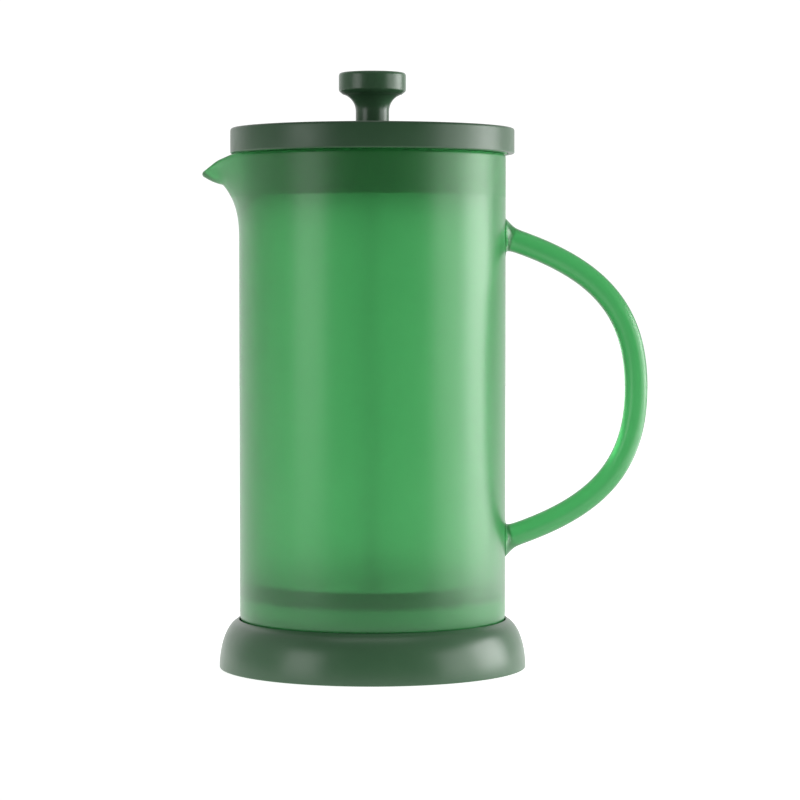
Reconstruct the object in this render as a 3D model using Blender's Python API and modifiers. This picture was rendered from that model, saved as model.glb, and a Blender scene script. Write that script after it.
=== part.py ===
"""French press: a frosted glass carafe in a moulded base, with a lid and a plunger filter.

Frame: metres, +Z up. The origin is on the carafe's axis, at the height of the table.
+X points to the handle and -X to the spout.
"""
from math import cos, exp, pi, radians, sin, sqrt

import bmesh
import bpy
from mathutils import Matrix, Vector

MM = 0.001

# Driving dimensions
GAP = 0.3 * MM                     # clearance between pieces that touch
GLASS_RADIUS = 50.0 * MM
GLASS_WALL = 2.5 * MM
GLASS_FOOT = 9.0 * MM              # height of the glass's underside
GLASS_FLOOR = 3.6 * MM             # thickness of its floor
GLASS_CORNER = 12.0 * MM           # outer radius of the bottom corner
RIM_HEIGHT = 192.65 * MM
SPOUT_FOOT = 162.0 * MM            # height at which the spout leaves the wall
SPOUT_BENDS = ((50.1 * MM, 172.5 * MM), (52.4 * MM, 179.5 * MM))
SPOUT_TIP = (62.2 * MM, 187.3 * MM)    # distance from the axis and height
SPOUT_HALF_ANGLE = radians(37)
DROP_HALF_ANGLE = radians(20)      # where the lip starts to fall from the level rim
CHANNEL_HALF_ANGLE = radians(8.5)  # of the narrow channel pressed into the lip
CHANNEL_SHIFT = (1.0 * MM, -3.0 * MM)  # how far its tip goes, outwards and down
CHANNEL_START = 0.74               # part of the way up the lip at which it begins
HANDLE_RADIUS = 4.3 * MM
HANDLE_MIDDLE = 105.15 * MM        # height of its middle, halfway between its roots
HANDLE_ROOT = 56.55 * MM           # height of each root above or below the middle
HANDLE_REACH = 99.3 * MM           # centre line's greatest distance from the axis
HANDLE_WELD = 2.9 * MM             # how much the rod spreads at its roots
WELD_LENGTH = 1.1 * MM             # how fast the spread dies away along the rod
BASE_RADIUS = 57.7 * MM
BASE_HEIGHT = 18.45 * MM
FOOT_PAD = 2.1 * MM                # thickness of the non-slip pad
LID_RADIUS = 53.25 * MM
LID_TOP = 202.4 * MM
LID_PLATE = 2.5 * MM
SLEEVE_BOTTOM = 176.65 * MM
GUARD_DIP = 8.5 * MM               # how much lower the sleeve hangs behind the spout
ROD_RADIUS = 2.2 * MM
KNOB_RADIUS = 12.6 * MM
KNOB_TOP = 223.3 * MM
KNOB_FOOT = 203.5 * MM
NECK_RADIUS = 6.25 * MM
FILTER_HEIGHT = 27.4 * MM          # height of the mesh's underside, with the plunger down
FILTER_RADIUS = 47.1 * MM

# Sizes worked out from them
BORE_RADIUS = GLASS_RADIUS - GLASS_WALL
LID_BOTTOM = RIM_HEIGHT + GAP
SLEEVE_RADIUS = BORE_RADIUS - 2 * GAP
SLEEVE_WALL = 1.8 * MM
GUIDE_RADIUS = 5.0 * MM
PART_BORE = ROD_RADIUS + GAP       # hole of every piece that the rod passes through

ROUND = 48                         # steps of a large turned shape
SMALL_ROUND = 24                   # steps of a small one


# Scene, materials and small helpers

def clear_scene():
    for item in list(bpy.data.objects):
        bpy.data.objects.remove(item, do_unlink=True)


def collection(name):
    made = bpy.data.collections.new(name)
    bpy.context.scene.collection.children.link(made)
    return made


clear_scene()
PARTS = collection("french_press")
CUTTERS = collection("cutters")


def material(name, colour, roughness, metallic=0.0, transmission=0.0):
    made = bpy.data.materials.new(name)
    made.use_nodes = True
    shader = made.node_tree.nodes["Principled BSDF"]
    shader.inputs["Base Color"].default_value = (*colour, 1.0)
    shader.inputs["Roughness"].default_value = roughness
    shader.inputs["Metallic"].default_value = metallic
    shader.inputs["Transmission Weight"].default_value = transmission
    made.diffuse_color = (*colour, 1.0)
    return made


GLASS = ("green_glass", (0.05, 0.36, 0.10), 0.35, 0.0, 1.0)
PLASTIC = ("green_plastic", (0.042, 0.105, 0.050), 0.45)
SILICONE = ("green_silicone", (0.030, 0.075, 0.036), 0.70)
STEEL = ("steel", (0.62, 0.62, 0.60), 0.28, 1.0)
BRASS = ("brass", (0.72, 0.55, 0.25), 0.35, 1.0)


def finish(item, look, angle=35):
    """Give a mesh object its own material and smooth shading between sharp edges."""
    item.data.materials.clear()
    name, *values = look
    item.data.materials.append(material(f"{item.name}_{name}", *values))
    item.data.shade_smooth()
    item.data.set_sharp_from_angle(angle=radians(angle))
    return item


def mesh_object(name, mesh, home=PARTS):
    made = bpy.data.objects.new(name, mesh)
    home.objects.link(made)
    return made


def arc(centre_r, centre_z, radius, start, end, steps, height=None):
    """Points of an arc, or of an ellipse's arc if height is given; angles in degrees."""
    height = radius if height is None else height
    angles = [radians(start + (end - start) * i / steps) for i in range(steps + 1)]
    return [(centre_r + radius * cos(a), centre_z + height * sin(a)) for a in angles]


def turned(name, outline, look, steps=ROUND, closed=True, home=PARTS):
    """Turn an outline of (radius, height) points, which runs down its outer side."""
    mesh = bpy.data.meshes.new(name)
    count = len(outline)
    edges = [(i, i + 1) for i in range(count - 1)]
    if closed:
        edges.append((count - 1, 0))
    mesh.from_pydata([(r, 0.0, z) for r, z in outline], edges, [])
    made = mesh_object(name, mesh, home)
    screw = made.modifiers.new("turn", "SCREW")
    screw.axis = "Z"
    screw.angle = 2 * pi
    screw.steps = steps
    screw.render_steps = steps
    screw.use_merge_vertices = True
    screw.merge_threshold = 1e-6
    screw.use_smooth_shade = True
    return apply_modifiers(made, look)


def apply_modifiers(item, look=None):
    """Put the evaluated shape in the object's mesh, with its seams welded."""
    bpy.context.view_layer.update()
    seen = item.evaluated_get(bpy.context.evaluated_depsgraph_get())
    mesh = bpy.data.meshes.new_from_object(seen)
    shape = bmesh.new()
    shape.from_mesh(mesh)
    bmesh.ops.remove_doubles(shape, verts=shape.verts, dist=1e-7)
    bmesh.ops.dissolve_degenerate(shape, edges=shape.edges, dist=1e-7)
    bmesh.ops.recalc_face_normals(shape, faces=shape.faces)
    shape.to_mesh(mesh)
    shape.free()
    name, place, home = item.name, item.matrix_world.copy(), item.users_collection[0]
    bpy.data.objects.remove(item, do_unlink=True)
    made = mesh_object(name, mesh, home)
    made.matrix_world = place
    return finish(made, look) if look else made


def prism(name, radius, bottom, top, look=None, sides=SMALL_ROUND, home=PARTS, place=(0, 0)):
    """An upright cylinder, or a hexagon if sides is 6."""
    mesh = bpy.data.meshes.new(name)
    shape = bmesh.new()
    middle = Matrix.Translation((*place, (bottom + top) / 2))
    bmesh.ops.create_cone(shape, cap_ends=True, segments=sides, radius1=radius,
                          radius2=radius, depth=top - bottom, matrix=middle)
    shape.to_mesh(mesh)
    shape.free()
    made = mesh_object(name, mesh, home)
    return finish(made, look) if look else made


def hide_cutter(item):
    item.hide_render = True
    item.display_type = "WIRE"
    return item


def cut(item, cutters, look):
    """Take the cutters' shapes out of the object."""
    for number, cutter in enumerate(cutters):
        hide_cutter(cutter)
        away = item.modifiers.new(f"cut_{number}", "BOOLEAN")
        away.operation = "DIFFERENCE"
        away.solver = "EXACT"
        away.object = cutter
    return apply_modifiers(item, look)


def bell(angle, half_width):
    """One at the middle, falling smoothly to nothing at the half width."""
    if abs(angle) >= half_width:
        return 0.0
    return 0.5 + 0.5 * cos(pi * angle / half_width)


def bezier(points, t):
    start, first, second, end = [Vector(p) for p in points]
    left = 1 - t
    return (left ** 3 * start + 3 * left ** 2 * t * first
            + 3 * left * t ** 2 * second + t ** 3 * end)


def from_spout(x, y):
    """Angle about the axis, counted from the spout."""
    return Vector((-1, 0)).angle_signed(Vector((x, y)), 0.0)


# Base: a flared cup, a cushion under the glass and a non-slip pad

CUP_RADIUS = GLASS_RADIUS + GAP
CUP_FLOOR = 6.0 * MM
BASE_EDGE = 0.2 * MM               # height of the flare's lower edge
FLARE_CENTRE = 49.5 * MM           # distance from the axis to the flare's ellipse
FLARE_HEIGHT = 18.3 * MM
PAD_RADIUS = 54.2 * MM


def make_base():
    corner = 4 * MM
    flare = arc(FLARE_CENTRE, 0, BASE_RADIUS - FLARE_CENTRE, 77, 4, 9, height=FLARE_HEIGHT)
    outline = [
        (0, CUP_FLOOR),
        (CUP_RADIUS - corner, CUP_FLOOR),
        *arc(CUP_RADIUS - corner, CUP_FLOOR + corner, corner, -60, 0, 3),
        (CUP_RADIUS, BASE_HEIGHT - 0.3 * MM),
        (CUP_RADIUS + 0.3 * MM, BASE_HEIGHT),
        *flare,
        (BASE_RADIUS, BASE_EDGE + 0.5 * MM),
        (BASE_RADIUS - 0.4 * MM, BASE_EDGE),
        (PAD_RADIUS + GAP, BASE_EDGE),
        (PAD_RADIUS + GAP, FOOT_PAD + GAP),
        (0, FOOT_PAD + GAP),
    ]
    turned("base_shell", outline, PLASTIC, closed=False)

    top = GLASS_FOOT - GAP
    bottom = CUP_FLOOR + GAP
    outline = [
        (0, top),
        (43.5 * MM, top),
        (44.3 * MM, top - 0.8 * MM),
        (44.3 * MM, bottom),
        (0, bottom),
    ]
    turned("base_cushion", outline, SILICONE, closed=False)

    pad = prism("base_foot_pad", PAD_RADIUS, 0, FOOT_PAD, SILICONE, sides=ROUND)
    edge = pad.modifiers.new("edge", "BEVEL")
    edge.width = 0.3 * MM
    edge.segments = 1
    edge.limit_method = "ANGLE"


# Carafe: a glass body whose lip is pulled out into a spout, and a welded glass handle

RIM_ROUND = 4                      # steps of the rounded rim
LIP_STEPS = 8                      # rows between the spout's foot and the rim


def spout_plan(angle):
    """How far the lip is pulled out: two straight sides that run from the tip to the round wall."""
    blunt = radians(2.5)
    away = sqrt(angle ** 2 + blunt ** 2) - blunt
    if away >= SPOUT_HALF_ANGLE:
        return 0.0
    return (1 / cos(SPOUT_HALF_ANGLE - away) - 1) / (1 / cos(SPOUT_HALF_ANGLE) - 1)


def wall_outline(angle):
    """The outer wall above the spout's foot, at an angle from the spout."""
    end_height = RIM_HEIGHT - GLASS_WALL / 2
    pulled = [(GLASS_RADIUS, SPOUT_FOOT), *SPOUT_BENDS, SPOUT_TIP]
    soft, sharp = bell(angle, SPOUT_HALF_ANGLE), spout_plan(angle)
    drop = bell(angle, DROP_HALF_ANGLE)
    channel = bell(angle, CHANNEL_HALF_ANGLE)
    points = []
    for step in range(LIP_STEPS + 1):
        t = step / LIP_STEPS
        straight = Vector((GLASS_RADIUS, SPOUT_FOOT + (end_height - SPOUT_FOOT) * t))
        bent = bezier(pulled, t)
        reach = soft + (sharp - soft) * t ** 2
        point = Vector((
            straight.x + (bent.x - straight.x) * reach,
            straight.y + (bent.y - straight.y) * drop,
        ))
        way = max(0.0, (t - CHANNEL_START) / (1 - CHANNEL_START))
        point.x += CHANNEL_SHIFT[0] * channel * way ** 2
        point.y += CHANNEL_SHIFT[1] * channel * sin(pi / 2 * way)
        points.append(point)
    return points


def side_normals(points):
    """Unit vectors across a line of points, towards the inside of the carafe."""
    last = len(points) - 1
    along = [(points[min(i + 1, last)] - points[max(i - 1, 0)]).normalized()
             for i in range(last + 1)]
    return [Vector((-a.y, a.x)) for a in along]


def lower_to_rim(wall):
    """Keep a leaning lip from rising above the level rim, where the lid rests."""
    excess = max(p.y for p in wall) - RIM_HEIGHT
    if excess > 0:
        for point in wall:
            point.y -= excess * (point.y - SPOUT_FOOT) / (RIM_HEIGHT - SPOUT_FOOT)


def glass_section(angle):
    """Points (radius, height) from under the floor, over the rim, to the floor's top."""
    outer = wall_outline(angle)
    normals = side_normals(outer)
    inner = [p + n * GLASS_WALL for p, n in zip(outer, normals)]
    inner[0] = Vector((BORE_RADIUS, SPOUT_FOOT))

    middle = (outer[-1] + inner[-1]) / 2
    spoke = outer[-1] - middle
    rim = []
    for step in range(1, RIM_ROUND):
        turn = Matrix.Rotation(pi * step / RIM_ROUND, 2)
        rim.append(middle + turn @ spoke)

    corner = GLASS_CORNER
    foot = [(0, GLASS_FOOT + 0.8 * MM), (30 * MM, GLASS_FOOT + 0.6 * MM)]
    foot += arc(GLASS_RADIUS - corner, GLASS_FOOT + corner, corner, -90, 0, 5)
    inside = corner - GLASS_WALL
    floor = arc(BORE_RADIUS - inside, GLASS_FOOT + GLASS_FLOOR + inside, inside, 0, -90, 4)
    floor.append((0, GLASS_FOOT + GLASS_FLOOR))
    wall = outer + rim + inner[::-1]
    lower_to_rim(wall)
    return foot + [tuple(p) for p in wall] + floor


def carafe_angles():
    """Angles of the sections, counted from the spout and closer together there."""
    coarse = 2 * pi / ROUND
    lip_steps = 6                  # coarse steps that the spout takes up
    finer = 3                      # sections in place of each of them
    half = lip_steps / 2 * coarse
    angles = [-half + coarse / finer * i for i in range(lip_steps * finer)]
    return angles + [half + coarse * i for i in range(ROUND - lip_steps)]


def make_carafe_body():
    shape = bmesh.new()
    columns = []
    for angle in carafe_angles():
        turn = pi + angle
        section = glass_section(angle)
        columns.append([shape.verts.new((r * cos(turn), r * sin(turn), z)) for r, z in section])
    for number, here in enumerate(columns):
        there = columns[(number + 1) % len(columns)]
        for row in range(len(here) - 1):
            shape.faces.new((here[row], there[row], there[row + 1], here[row + 1]))
    bmesh.ops.remove_doubles(shape, verts=shape.verts, dist=1e-7)
    bmesh.ops.recalc_face_normals(shape, faces=shape.faces)
    mesh = bpy.data.meshes.new("carafe_body")
    shape.to_mesh(mesh)
    shape.free()
    finish(mesh_object("carafe_body", mesh), GLASS, angle=60)


def handle_points():
    """Centre line, with its radius at each point, from the upper root to the lower one."""
    root = Vector((GLASS_RADIUS, HANDLE_ROOT))
    lean = radians(17.7)
    first = root + 35.1 * MM * Vector((cos(lean), -sin(lean)))
    half = [root, first, Vector((HANDLE_REACH, 30.9 * MM)), Vector((HANDLE_REACH, 0))]
    steps = 20
    upper = [(GLASS_RADIUS - 1.2 * MM, HANDLE_ROOT, HANDLE_RADIUS + HANDLE_WELD)]
    for step in range(steps + 1):
        point = bezier(half, (step / steps) ** 1.8)
        spread = HANDLE_WELD * exp(-(point.x - GLASS_RADIUS) / WELD_LENGTH)
        upper.append((point.x, point.y, HANDLE_RADIUS + spread))
    lower = [(x, -z, r) for x, z, r in upper[-2::-1]]
    return upper + lower


def make_carafe_handle():
    line = bpy.data.curves.new("carafe_handle", "CURVE")
    line.dimensions = "3D"
    line.bevel_depth = 1.0
    line.bevel_resolution = 4
    line.use_fill_caps = True
    spline = line.splines.new("POLY")
    points = handle_points()
    spline.points.add(len(points) - 1)
    for point, (x, z, radius) in zip(spline.points, points):
        point.co = (x, 0, HANDLE_MIDDLE + z, 1)
        point.radius = radius
    rod = apply_modifiers(mesh_object("carafe_handle", line))
    wall = prism("handle_wall", GLASS_RADIUS + GAP, 20 * MM, RIM_HEIGHT, sides=ROUND,
                 home=CUTTERS)
    cut(rod, [wall], GLASS)


# Lid: a cap, a sleeve that hangs inside the glass, and the guide that the rod slides in

def make_lid_cap():
    hole = GUIDE_RADIUS + GAP
    edge = 0.9 * MM
    skirt = 2.3 * MM
    under = LID_TOP - LID_PLATE
    outline = [
        (hole, LID_TOP),
        *arc(LID_RADIUS - edge, LID_TOP - edge, edge, 90, 0, 4),
        *arc(LID_RADIUS - 0.5 * MM, LID_BOTTOM + 0.5 * MM, 0.5 * MM, 0, -90, 2),
        (LID_RADIUS - skirt, LID_BOTTOM),
        (LID_RADIUS - skirt, under),
        (hole, under),
    ]
    turned("lid_cap", outline, PLASTIC)


SLOT_WIDTH = 1.8 * MM
SLOT_TOP = 190.0 * MM
SLOT_BOTTOM = 174.5 * MM
SLOT_PITCH = radians(5.5)
SLOT_COUNT = 7


def make_slot(number):
    """One pouring slot: an upright block with its corners rounded off."""
    mesh = bpy.data.meshes.new("slot")
    shape = bmesh.new()
    height = SLOT_TOP - SLOT_BOTTOM
    size = Matrix.Diagonal((8 * MM, SLOT_WIDTH, height, 1))
    place = Matrix.Translation((-(SLEEVE_RADIUS - 1 * MM), 0, SLOT_BOTTOM + height / 2))
    turn = Matrix.Rotation((number - (SLOT_COUNT - 1) / 2) * SLOT_PITCH, 4, "Z")
    bmesh.ops.create_cube(shape, size=1, matrix=turn @ place @ size)
    shape.to_mesh(mesh)
    shape.free()
    return mesh_object(f"slot_{number}", mesh, CUTTERS)


def make_lid_sleeve():
    hole = GUIDE_RADIUS + GAP
    boss = 8.0 * MM
    plate_top = LID_BOTTOM + 2.2 * MM
    inner = SLEEVE_RADIUS - SLEEVE_WALL
    outline = [
        (hole, LID_TOP - LID_PLATE - GAP),
        (boss, LID_TOP - LID_PLATE - GAP),
        (boss, plate_top),
        (LID_RADIUS - 2.6 * MM, plate_top),
        (LID_RADIUS - 2.6 * MM, LID_BOTTOM),
        (SLEEVE_RADIUS, LID_BOTTOM),
        (SLEEVE_RADIUS, SLEEVE_BOTTOM + 0.4 * MM),
        (SLEEVE_RADIUS - 0.4 * MM, SLEEVE_BOTTOM),
        (inner, SLEEVE_BOTTOM),
        (inner, LID_BOTTOM),
        (hole, LID_BOTTOM),
    ]
    sleeve = turned("lid_sleeve", outline, PLASTIC)
    for vertex in sleeve.data.vertices:
        if vertex.co.z < SLEEVE_BOTTOM + 1 * MM:
            angle = from_spout(vertex.co.x, vertex.co.y)
            vertex.co.z -= GUARD_DIP * bell(angle, SPOUT_HALF_ANGLE)
    cut(sleeve, [make_slot(number) for number in range(SLOT_COUNT)], PLASTIC)


def make_rod_guide():
    bore = ROD_RADIUS + 0.15 * MM
    flange = 6.0 * MM
    bottom = LID_BOTTOM - 1.5 * MM
    outline = [
        (bore, KNOB_FOOT - GAP),
        (flange - 0.2 * MM, KNOB_FOOT - GAP),
        (flange, KNOB_FOOT - GAP - 0.2 * MM),
        (flange, LID_TOP + GAP),
        (GUIDE_RADIUS, LID_TOP + GAP),
        (GUIDE_RADIUS, bottom + 0.5 * MM),
        (GUIDE_RADIUS - 0.5 * MM, bottom),
        (bore, bottom),
    ]
    turned("rod_guide", outline, STEEL, steps=SMALL_ROUND)


# Plunger: a knob, a rod and the filter's layers, held between two nuts

INSERT_RADIUS = 3.3 * MM
INSERT_TOP = 215.7 * MM
ROD_TOP = 215.0 * MM
ROD_BOTTOM = 22.5 * MM


def make_knob():
    """A flat disc that narrows in a hollow curve to its neck."""
    corner = 1.2 * MM
    flare_height = 6.6 * MM
    flare_foot = 208.8 * MM
    under = 216.9 * MM             # height at which the disc's straight side ends
    bore = INSERT_RADIUS + GAP
    flare = arc(KNOB_RADIUS, flare_foot, KNOB_RADIUS - NECK_RADIUS, 100, 180, 9,
                height=flare_height)
    outline = [
        (0, KNOB_TOP),
        *arc(KNOB_RADIUS - corner, KNOB_TOP - corner, corner, 90, 0, 5),
        (KNOB_RADIUS, under),
        (KNOB_RADIUS - 0.3 * MM, under - 0.8 * MM),
        *flare,
        (NECK_RADIUS, KNOB_FOOT + 0.3 * MM),
        (NECK_RADIUS - 0.3 * MM, KNOB_FOOT),
        (bore, KNOB_FOOT),
        (bore, INSERT_TOP + GAP),
        (0, INSERT_TOP + GAP),
    ]
    turned("plunger_knob", outline, PLASTIC, steps=SMALL_ROUND, closed=False)


def make_knob_insert():
    outline = [
        (PART_BORE, INSERT_TOP),
        (INSERT_RADIUS, INSERT_TOP),
        (INSERT_RADIUS, KNOB_FOOT + 0.5 * MM),
        (PART_BORE, KNOB_FOOT + 0.5 * MM),
    ]
    turned("knob_insert", outline, BRASS, steps=SMALL_ROUND)


def make_rod():
    chamfer = 0.5 * MM
    outline = [
        (0, ROD_TOP),
        (ROD_RADIUS - chamfer, ROD_TOP),
        (ROD_RADIUS, ROD_TOP - chamfer),
        (ROD_RADIUS, ROD_BOTTOM + chamfer),
        (ROD_RADIUS - chamfer, ROD_BOTTOM),
        (0, ROD_BOTTOM),
    ]
    turned("plunger_rod", outline, STEEL, steps=SMALL_ROUND, closed=False)


MESH_THICKNESS = 0.5 * MM
MESH_TOP = FILTER_HEIGHT + MESH_THICKNESS
COIL_RADIUS = 2.1 * MM             # of the coil spring, across its turns
COIL_CENTRE = MESH_TOP + 1 * MM + COIL_RADIUS
COIL_RING = FILTER_RADIUS - MESH_THICKNESS - GAP - COIL_RADIUS
PLATE = 0.8 * MM
CROSS_TOP = FILTER_HEIGHT - 0.4 * MM


def ring_of_holes(name, count, ring, radius, bottom, top):
    """Upright cutters evenly spaced on a circle."""
    holes = []
    for number in range(count):
        turn = 2 * pi * number / count
        place = (ring * cos(turn), ring * sin(turn))
        holes.append(prism(f"{name}_{number}", radius, bottom, top, sides=16,
                           home=CUTTERS, place=place))
    return holes


def make_spring_plate():
    """A dished plate: its hub rests on the mesh and its edge reaches the coil's middle."""
    hub = MESH_TOP + 0.4 * MM
    high = COIL_CENTRE - PLATE / 2
    edge = COIL_RING - COIL_RADIUS - GAP
    outline = [
        (PART_BORE, hub + PLATE),
        (12 * MM, hub + PLATE),
        (17 * MM, high + PLATE),
        (edge, high + PLATE),
        (edge, high),
        (17.5 * MM, high),
        (12.5 * MM, hub),
        (PART_BORE, hub),
    ]
    plate = turned("spring_plate", outline, STEEL)
    cut(plate, ring_of_holes("spring_hole", 8, 29 * MM, 5 * MM, hub, high + 3 * MM), STEEL)


def make_spring_coil():
    bpy.ops.mesh.primitive_torus_add(
        location=(0, 0, COIL_CENTRE), major_radius=COIL_RING, minor_radius=COIL_RADIUS,
        major_segments=ROUND, minor_segments=8)
    ring = bpy.context.object
    ring.name = "spring_coil"
    for home in list(ring.users_collection):
        home.objects.unlink(ring)
    PARTS.objects.link(ring)
    finish(ring, STEEL)


def make_filter_mesh():
    """A flat disc of woven mesh whose edge is turned up against the glass."""
    rim_top = COIL_CENTRE + 1.6 * MM
    rim_inner = FILTER_RADIUS - MESH_THICKNESS
    bend = 1.0 * MM
    outline = [
        (rim_inner, rim_top),
        (FILTER_RADIUS, rim_top),
        *arc(FILTER_RADIUS - bend, FILTER_HEIGHT + bend, bend, 0, -90, 3),
        (PART_BORE, FILTER_HEIGHT),
        (PART_BORE, MESH_TOP),
        *arc(rim_inner - bend / 2, MESH_TOP + bend / 2, bend / 2, -90, 0, 2),
    ]
    turned("filter_mesh", outline, STEEL)


def make_cross_plate():
    """The perforated plate that carries the mesh from below."""
    outline = [
        (PART_BORE, CROSS_TOP),
        (43.5 * MM, CROSS_TOP),
        (43.5 * MM, CROSS_TOP - PLATE),
        (PART_BORE, CROSS_TOP - PLATE),
    ]
    plate = turned("cross_plate", outline, STEEL)
    reach = (CROSS_TOP - 2 * PLATE, CROSS_TOP + PLATE)
    holes = ring_of_holes("outer_hole", 10, 32 * MM, 6 * MM, *reach)
    holes += ring_of_holes("inner_hole", 6, 17 * MM, 4.5 * MM, *reach)
    cut(plate, holes, STEEL)


def make_nut(name, radius, bottom, top, bore_bottom):
    """A hexagon nut with a round bore, blind when the bore starts above its bottom."""
    nut = prism(name, radius, bottom, top, sides=6)
    bore = prism(f"{name}_bore", PART_BORE, bore_bottom, top + 2 * MM, home=CUTTERS)
    cut(nut, [bore], STEEL)


def make_nuts():
    seat = MESH_TOP + 0.4 * MM + PLATE + GAP
    make_nut("lock_nut", 5.5 * MM, seat, seat + 4 * MM, seat - 2 * MM)
    top = CROSS_TOP - PLATE - GAP
    make_nut("hub_nut", 6.5 * MM, top - 5.2 * MM, top, ROD_BOTTOM - GAP)


make_base()
make_carafe_body()
make_carafe_handle()
make_lid_cap()
make_lid_sleeve()
make_rod_guide()
make_knob()
make_knob_insert()
make_rod()
make_spring_plate()
make_spring_coil()
make_filter_mesh()
make_cross_plate()
make_nuts()
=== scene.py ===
"""Looks of the french press: fine surfaces, materials, light and camera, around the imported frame."""
from math import ceil, cos, exp, pi, radians, sin, sqrt

import bmesh
import bpy
from mathutils import Matrix, Vector


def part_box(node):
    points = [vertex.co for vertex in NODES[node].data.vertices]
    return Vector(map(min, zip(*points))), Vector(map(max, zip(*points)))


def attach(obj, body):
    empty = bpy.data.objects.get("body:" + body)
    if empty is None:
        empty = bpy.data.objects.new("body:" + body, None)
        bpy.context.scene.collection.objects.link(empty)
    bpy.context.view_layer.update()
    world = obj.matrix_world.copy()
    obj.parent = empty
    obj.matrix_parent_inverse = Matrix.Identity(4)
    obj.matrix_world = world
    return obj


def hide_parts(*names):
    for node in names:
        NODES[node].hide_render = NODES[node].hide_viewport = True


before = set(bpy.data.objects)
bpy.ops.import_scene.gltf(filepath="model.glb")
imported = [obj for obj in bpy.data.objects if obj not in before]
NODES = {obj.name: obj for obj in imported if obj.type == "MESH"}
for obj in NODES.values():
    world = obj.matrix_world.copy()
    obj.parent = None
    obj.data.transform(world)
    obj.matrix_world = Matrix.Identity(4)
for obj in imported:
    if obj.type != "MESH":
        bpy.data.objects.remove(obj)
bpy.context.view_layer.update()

MM = 0.001
BOX = {name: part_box(name) for name in NODES}

# Sizes read from the frame
GLASS_RADIUS = BOX["carafe_body"][1].y
GLASS_FOOT = BOX["carafe_body"][0].z
RIM_HEIGHT = BOX["carafe_body"][1].z
BASE_RADIUS = BOX["base_shell"][1].y
BASE_EDGE, BASE_HEIGHT = BOX["base_shell"][0].z, BOX["base_shell"][1].z
PAD_RADIUS, PAD_TOP = BOX["base_foot_pad"][1].y, BOX["base_foot_pad"][1].z
LID_RADIUS, LID_BOTTOM, LID_TOP = BOX["lid_cap"][1].y, BOX["lid_cap"][0].z, BOX["lid_cap"][1].z
KNOB_RADIUS, KNOB_FOOT, KNOB_TOP = (BOX["plunger_knob"][1].y, BOX["plunger_knob"][0].z,
                                    BOX["plunger_knob"][1].z)
ROD_RADIUS, ROD_BOTTOM, ROD_TOP = (BOX["plunger_rod"][1].y, BOX["plunger_rod"][0].z,
                                   BOX["plunger_rod"][1].z)
FILTER_RADIUS, FILTER_BOTTOM = BOX["filter_mesh"][1].y, BOX["filter_mesh"][0].z

# Sizes of the design that the boxes don't show
GAP = 0.3 * MM
GLASS_WALL = 2.5 * MM
GLASS_FLOOR = 3.6 * MM
GLASS_CORNER = 12.0 * MM
BORE_RADIUS = GLASS_RADIUS - GLASS_WALL
SPOUT_FOOT = 162.0 * MM
SPOUT_BENDS = ((50.1 * MM, 172.5 * MM), (52.4 * MM, 179.5 * MM))
SPOUT_TIP = (62.2 * MM, 187.3 * MM)
SPOUT_HALF_ANGLE = radians(37)
CHANNEL_HALF_ANGLE = radians(8.5)
CHANNEL_SHIFT = (1.0 * MM, -3.0 * MM)
HANDLE_RADIUS = 4.3 * MM
HANDLE_MIDDLE = 105.15 * MM
HANDLE_ROOT = 56.55 * MM
HANDLE_REACH = BOX["carafe_handle"][1].x - HANDLE_RADIUS
HANDLE_WELD = 2.9 * MM
WELD_LENGTH = 1.1 * MM
SLEEVE_RADIUS = BORE_RADIUS - 2 * GAP
SLEEVE_WALL = 1.8 * MM
SLEEVE_BOTTOM = 176.65 * MM
GUARD_DIP = 8.5 * MM
GUIDE_RADIUS = 5.0 * MM
NECK_RADIUS = 6.25 * MM
PART_BORE = ROD_RADIUS + GAP

FINE = 192                         # steps round a large piece
MEDIUM = 96                        # steps round a small one
SHARP = 40                         # degrees, the least bend that shows as a sharp edge


# Camera, light and floor

CAMERA_PLACE = (0.0, -1.0817, 0.1440)
CAMERA_DOWN = radians(2.298)
CAMERA_RIGHT = radians(0.548)
CAMERA_SENSOR = 36.0               # millimetres
CAMERA_LENS = 129.43               # millimetres


def make_camera():
    data = bpy.data.cameras.new("camera")
    data.sensor_width = CAMERA_SENSOR
    data.lens = CAMERA_LENS
    camera = bpy.data.objects.new("camera", data)
    camera.location = CAMERA_PLACE
    camera.rotation_euler = (pi / 2 - CAMERA_DOWN, 0, -CAMERA_RIGHT)
    bpy.context.scene.collection.objects.link(camera)
    bpy.context.scene.camera = camera


# Name, azimuth, width, height, distance from the axis, height of the centre, radiance
SOFTBOXES = (
    ("right_softbox", 100, 0.56, 0.50, 0.95, 0.24, 7.0),
    ("right_fill_softbox", 67, 0.50, 0.50, 0.95, 0.24, 2.9),
    ("left_softbox", -54, 0.48, 0.50, 0.95, 0.27, 2.7),
    ("top_softbox", 0, 0.90, 0.40, 0.30, 1.10, 0.9),
)
SOFTBOX_AIM = Vector((0, 0, 0.12))
CARD_WIDTH, CARD_DEPTH = 0.60, 0.50
CARD_PLACE = (0.52, 0.05, 0.004)
CARD_RADIANCE = 2.0


def make_panel(name, width, height, place, radiance):
    """A glowing rectangle that faces down until it is turned."""
    data = bpy.data.lights.new(name, "AREA")
    data.shape = "RECTANGLE"
    data.size = width
    data.size_y = height
    data.energy = radiance * pi * width * height
    made = bpy.data.objects.new(name, data)
    made.location = place
    bpy.context.scene.collection.objects.link(made)
    return made


def make_softbox(name, azimuth, width, height, distance, centre_height, radiance):
    """A panel turned towards the object; azimuth is counted from the camera, right positive."""
    turn = radians(azimuth)
    place = Vector((distance * sin(turn), -distance * cos(turn), centre_height))
    made = make_panel(name, width, height, place, radiance)
    aim = SOFTBOX_AIM - place
    made.rotation_euler = aim.to_track_quat("-Z", "Y").to_euler()


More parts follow.
